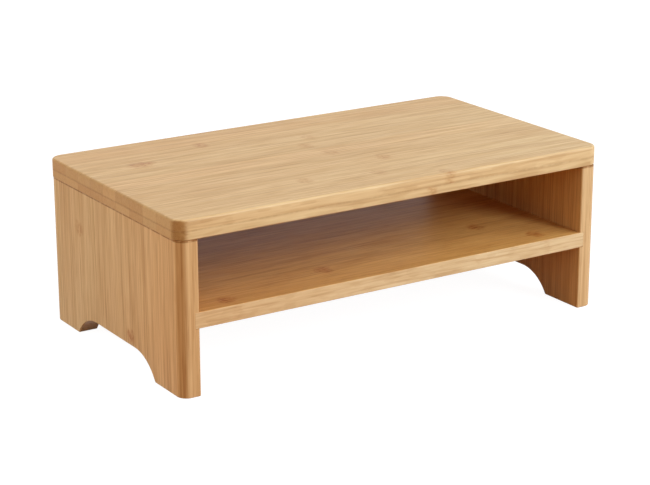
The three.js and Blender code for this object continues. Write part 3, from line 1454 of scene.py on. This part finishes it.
@dataclass(frozen=True, kw_only=True)
class PictureCamera:
    """The camera of the picture.

    Attributes:
        place: Where it stands.
        yaw: Its turn from straight ahead towards the right, in degrees.
        pitch: Its tilt, in degrees, below 0 when it looks down.
        roll: Its lean, in degrees.
        lens: Focal length in millimetres.
        film_width: Width of the film in millimetres.
        near: Nearest distance that it sees.
        far: Farthest distance that it sees.
    """

    place: Triple
    yaw: float
    pitch: float
    roll: float
    lens: float
    film_width: float = 36.0
    near: float = 0.05
    far: float = 50.0

    def set_up(self) -> None:
        """Stand the camera in the scene and use it."""
        data = bpy.data.cameras.new("picture_camera")
        data.sensor_fit = "HORIZONTAL"
        data.sensor_width = self.film_width
        data.lens = self.lens
        data.clip_start = self.near
        data.clip_end = self.far
        camera = bpy.data.objects.new("picture_camera", data)
        turn = (Matrix.Rotation(-radians(self.yaw), 4, "Z")
                @ Matrix.Rotation(radians(self.pitch + 90), 4, "X")
                @ Matrix.Rotation(radians(self.roll), 4, "Z"))
        camera.matrix_world = Matrix.Translation(self.place) @ turn
        bpy.context.scene.collection.objects.link(camera)
        bpy.context.scene.camera = camera


@dataclass
class Studio:
    """The white room that the stand is pictured in.

    Attributes:
        floor_size: Length of the floor's sides.
        floor_drop: How far the floor lies under the desk's level.
        floor_colour: Colour of the floor as it throws light back.
        floor_seen: Colour of the floor as the camera sees it, under its glow.
        floor_glow: How much white the camera sees in the floor besides that.
        floor_roughness: Roughness of the floor.
        room_light: Strength of the white light from all round.
        aim_height: Height of the point that the lamps are aimed at.
        lamps: The soft lamps.
    """

    floor_size: float = 14.0
    floor_drop: float = 0.0001
    floor_colour: Colour = paint(186, 134, 82)
    floor_seen: Colour = paint(120, 120, 120)
    floor_glow: float = 0.96
    floor_roughness: float = 0.9
    room_light: float = 0.02
    aim_height: float = 0.07
    lamps: tuple[Softbox, ...] = (
        Softbox(name="front_right_softbox", turn=58.0, rise=36.0, distance=3.6, size=1.9, watts=67.0,
                tint=(0.95, 1.0, 1.08)),
        Softbox(name="front_softbox", turn=20.0, rise=26.0, distance=3.6, size=1.1, watts=71.0,
                tint=(0.94, 1.0, 1.09)),
        Softbox(name="left_softbox", turn=-94.0, rise=24.0, distance=3.0, size=2.4, watts=48.0,
                tint=(1.01, 1.0, 0.99)),
        Softbox(name="left_front_softbox", turn=-40.0, rise=30.0, distance=3.0, size=1.5, watts=9.0,
                tint=(1.03, 1.0, 0.97)),
        Softbox(name="back_softbox", turn=172.0, rise=56.0, distance=2.4, size=1.3, watts=13.0),
    )

    @staticmethod
    def seen_directly(bench: NodeBench) -> Socket:
        """Tell rays that picture the room from those that light the stand.

        Args:
            bench: The bench of the floor or of the room.

        Returns:
            1 for a ray from the camera or from a glossy or clear surface, otherwise 0.
        """
        path = bench.place("ShaderNodeLightPath").outputs
        mirrored = bench.math("MAXIMUM", path["Is Glossy Ray"], path["Is Transmission Ray"])
        return bench.math("MAXIMUM", path["Is Camera Ray"], mirrored)

    def light_room(self) -> None:
        """Make the room white to look at and softly lit."""
        world = bpy.data.worlds.new("white_room")
        world.use_nodes = True
        bpy.context.scene.world = world
        bench = NodeBench(world.node_tree)
        walls = world.node_tree.nodes["Background"].inputs
        feeds = {"Value": self.seen_directly(bench), "To Min": self.room_light, "To Max": 1.0}
        bench.feed(walls["Strength"], bench.place("ShaderNodeMapRange", feeds).outputs[0])
        walls["Color"].default_value = WHITE

    def floor_material(self) -> bpy.types.Material:
        """Make the floor's pale material.

        Returns:
            The material, white to the camera but for the stand's shadow, and clear from below, so
            that the stand's underside can be looked at.
        """
        material = bpy.data.materials.new("floor_white")
        material.use_nodes = True
        bench = NodeBench(material.node_tree)
        surface = material.node_tree.nodes["Principled BSDF"].inputs
        seen = self.seen_directly(bench)
        bench.feed(surface["Base Color"], bench.blend(seen, self.floor_colour, self.floor_seen))
        bench.feed(surface["Emission Strength"], bench.math("MULTIPLY", seen, self.floor_glow))
        below = bench.place("ShaderNodeNewGeometry").outputs["Backfacing"]
        bench.feed(surface["Alpha"], bench.math("SUBTRACT", 1.0, below))
        surface["Roughness"].default_value = self.floor_roughness
        surface["Specular IOR Level"].default_value = 0.0
        surface["Emission Color"].default_value = WHITE
        return material

    def lay_floor(self) -> None:
        """Lay the floor, which keeps the stand's shadow."""
        shape = bmesh.new()
        bmesh.ops.create_grid(shape, x_segments=2, y_segments=2, size=self.floor_size / 2)
        mesh = bpy.data.meshes.new("studio_floor")
        shape.to_mesh(mesh)
        shape.free()
        mesh.materials.append(self.floor_material())
        floor = bpy.data.objects.new("studio_floor", mesh)
        floor.location.z = -self.floor_drop
        bpy.context.scene.collection.objects.link(floor)

    def set_up(self) -> None:
        """Set up the room, the floor and the lamps."""
        self.light_room()
        self.lay_floor()
        for lamp in self.lamps:
            lamp.set_up(Vector((0.0, 0.0, self.aim_height)))


def main() -> None:
    """Build the stand and the studio, piece by piece."""
    logging.basicConfig(level=logging.INFO, format="%(name)s: %(message)s")
    shop = WoodShop()
    TopBoard().build(shop)
    # Painted shade darkens the left panel's corner at the left of the front; the right panel gets none,
    # and its painted light and shade leave it paler
    SidePanel(Side.LEFT, pale=paint(232, 194, 139), deep=paint(185, 135, 79), seed=21.0,
              corner_shade_depth=0.7, light_drift_level=0.5).build(shop)
    SidePanel(Side.RIGHT, pale=paint(233, 196, 142), deep=paint(190, 145, 92), seed=34.0,
              corner_shade_depth=0.0, light_drift_level=0.25).build(shop)
    Shelf().build(shop)
    Dowels().dress(shop)

    PictureCamera(place=(-0.83991, -1.31116, 0.55417), yaw=32.5978, pitch=-17.5844, roll=-0.116,
                  lens=108.205).set_up()
    Studio().set_up()
    bpy.context.scene.view_settings.view_transform = "Standard"


if __name__ == "__main__":
    main()
